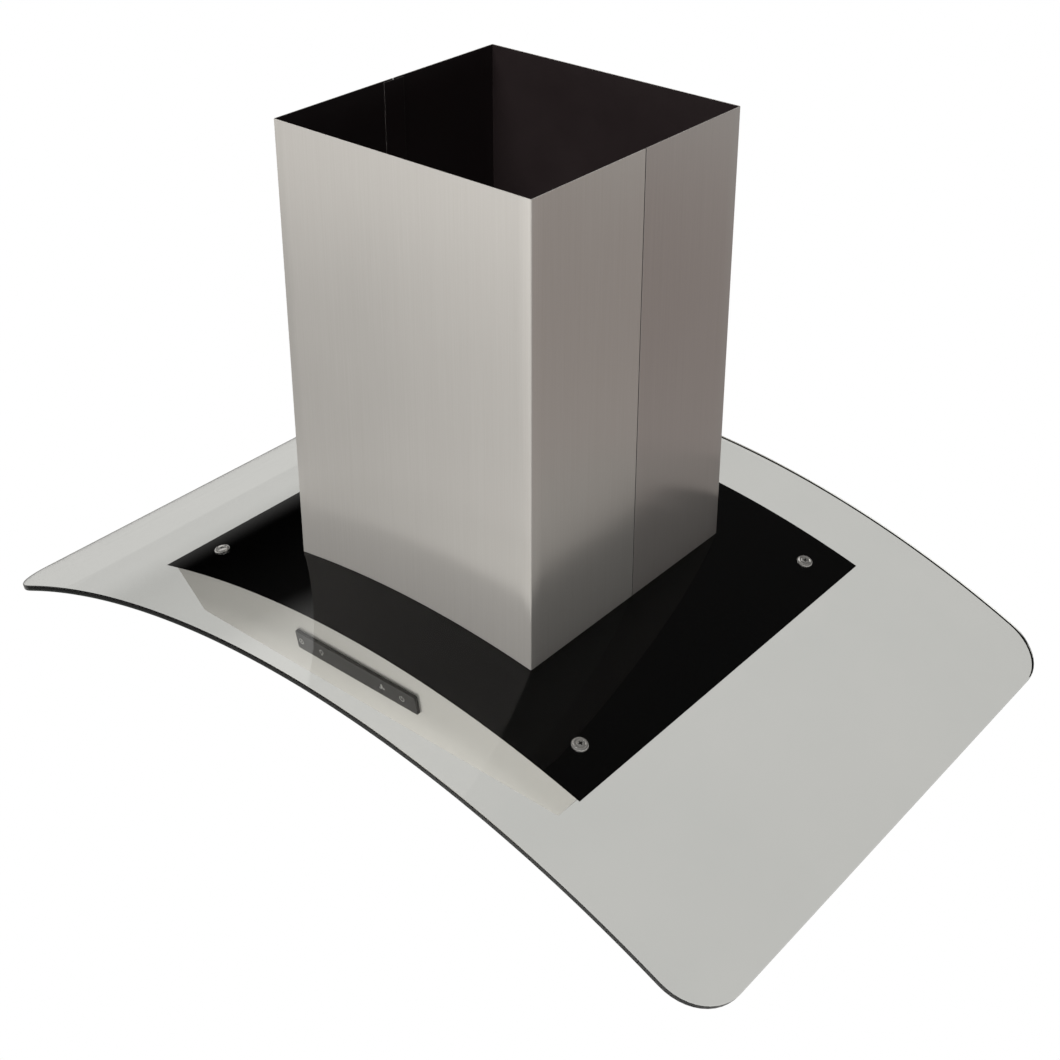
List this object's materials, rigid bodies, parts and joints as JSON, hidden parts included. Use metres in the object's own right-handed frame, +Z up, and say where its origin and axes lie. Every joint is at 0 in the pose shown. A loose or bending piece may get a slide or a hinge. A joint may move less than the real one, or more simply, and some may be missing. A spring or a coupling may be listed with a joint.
{
  "type": "island range hood",
  "caption": "Ceiling-hung island range hood: arched clear glass canopy, tapered steel body with a touch strip, square steel chimney, drop-down baffle filters.",
  "frame": {"origin": "centre of the four hanging holes, on the upper face of the head frame", "axes": "+Z up, -Y towards the control strip, +X along the long side of the glass"},
  "size_m": [0.9, 0.6, 0.5556],
  "materials": {
    "clear_glass": "clear toughened, polished edge",
    "black_enamel": "fired black enamel under glass",
    "foam_seal": "closed-cell foam",
    "chrome": "polished",
    "nylon": "natural nylon",
    "brushed_steel": "fine brushed stainless",
    "lamp_metal": "satin",
    "lamp_lens": "frosted",
    "filter_steel": "folded stainless",
    "galvanised_steel": "galvanised sheet",
    "bolt_zinc": "zinc plated",
    "touch_glass": "smoked touch panel",
    "circuit_board": "solder mask",
    "moulded_black": "moulded plastic",
    "motor_paint": "stove enamel",
    "ground_steel": "ground",
    "capacitor_shell": "moulded shell"
  },
  "bodies": {
    "hood": {"back_panel": "brushed_steel", "black_glass_print": "black_enamel", "blower_plate_back": "galvanised_steel", "blower_plate_front": "galvanised_steel", "blower_scroll": "moulded_black", "bottom_panel": "brushed_steel", "canopy_cup_washers": "chrome", "canopy_gasket": "foam_seal", "canopy_screws": "chrome", "casing_lid": "galvanised_steel", "casing_walls": "galvanised_steel", "chimney_back": "brushed_steel", "chimney_front": "brushed_steel", "chimney_seam_straps": "galvanised_steel", "control_board": "circuit_board", "control_fascia": "touch_glass", "damper_pins": "bolt_zinc", "duct_collar": "moulded_black", "frame_bolts": "bolt_zinc", "front_panel": "brushed_steel", "glass_bushes": "nylon", "glass_canopy": "clear_glass", "head_frame": "galvanised_steel", "lamp_can_back_left": "lamp_metal", "lamp_can_back_right": "lamp_metal", "lamp_can_front_left": "lamp_metal", "lamp_can_front_right": "lamp_metal", "lamp_lens_back_left": "lamp_lens", "lamp_lens_back_right": "lamp_lens", "lamp_lens_front_left": "lamp_lens", "lamp_lens_front_right": "lamp_lens", "left_panel": "brushed_steel", "mains_gland": "moulded_black", "motor_bearings": "ground_steel", "motor_bracket": "galvanised_steel", "motor_can": "motor_paint", "motor_capacitor": "capacitor_shell", "post_back_left": "galvanised_steel", "post_back_right": "galvanised_steel", "post_front_left": "galvanised_steel", "post_front_right": "galvanised_steel", "power_module": "moulded_black", "right_panel": "brushed_steel", "terminal_box": "moulded_black", "top_deck": "galvanised_steel"},
    "upper_chimney": {"upper_chimney_front": "brushed_steel", "upper_chimney_back": "brushed_steel", "upper_chimney_seam_straps": "galvanised_steel"},
    "wheel": {"blower_wheel": "galvanised_steel", "motor_shaft": "ground_steel"},
    "flap_left": {"damper_flap_left": "moulded_black"},
    "flap_right": {"damper_flap_right": "moulded_black"},
    "filter_left": {"filter_frame_left": "filter_steel", "filter_baffles_left": "filter_steel", "filter_handle_left": "filter_steel"},
    "filter_right": {"filter_frame_right": "filter_steel", "filter_baffles_right": "filter_steel", "filter_handle_right": "filter_steel"},
    "latch_left": {"filter_latch_left": "filter_steel"},
    "latch_right": {"filter_latch_right": "filter_steel"}
  },
  "joints": [
    {"name": "upper_chimney_slide", "type": "slide", "parent": "hood", "child": "upper_chimney", "axis": [0, 0, 1], "range_m": [0, 0.38]},
    {"name": "blower_spin", "type": "hinge", "parent": "hood", "child": "wheel", "pos_m": [-0.035, 0, -0.156], "axis": [0, 1, 0], "continuous": true},
    {"name": "damper_left", "type": "hinge", "parent": "hood", "child": "flap_left", "pos_m": [-0.004, 0, 0.001], "axis": [0, 1, 0], "range_deg": [0, 80]},
    {"name": "damper_right", "type": "hinge", "parent": "hood", "child": "flap_right", "pos_m": [0.004, 0, 0.001], "axis": [0, -1, 0], "range_deg": [0, 80]},
    {"name": "filter_left_tilt", "type": "hinge", "parent": "hood", "child": "filter_left", "pos_m": [-0.093, 0.148, -0.3473], "axis": [1, 0, 0], "range_deg": [0, 60]},
    {"name": "latch_left_slide", "type": "slide", "parent": "filter_left", "child": "latch_left", "axis": [0, 1, 0], "range_m": [0, 0.005], "stiffness_N_per_m": 300, "springref_m": -0.01},
    {"name": "filter_right_tilt", "type": "hinge", "parent": "hood", "child": "filter_right", "pos_m": [0.093, 0.148, -0.3473], "axis": [1, 0, 0], "range_deg": [0, 60]},
    {"name": "latch_right_slide", "type": "slide", "parent": "filter_right", "child": "latch_right", "axis": [0, 1, 0], "range_m": [0, 0.005], "stiffness_N_per_m": 300, "springref_m": -0.01}
  ]
}
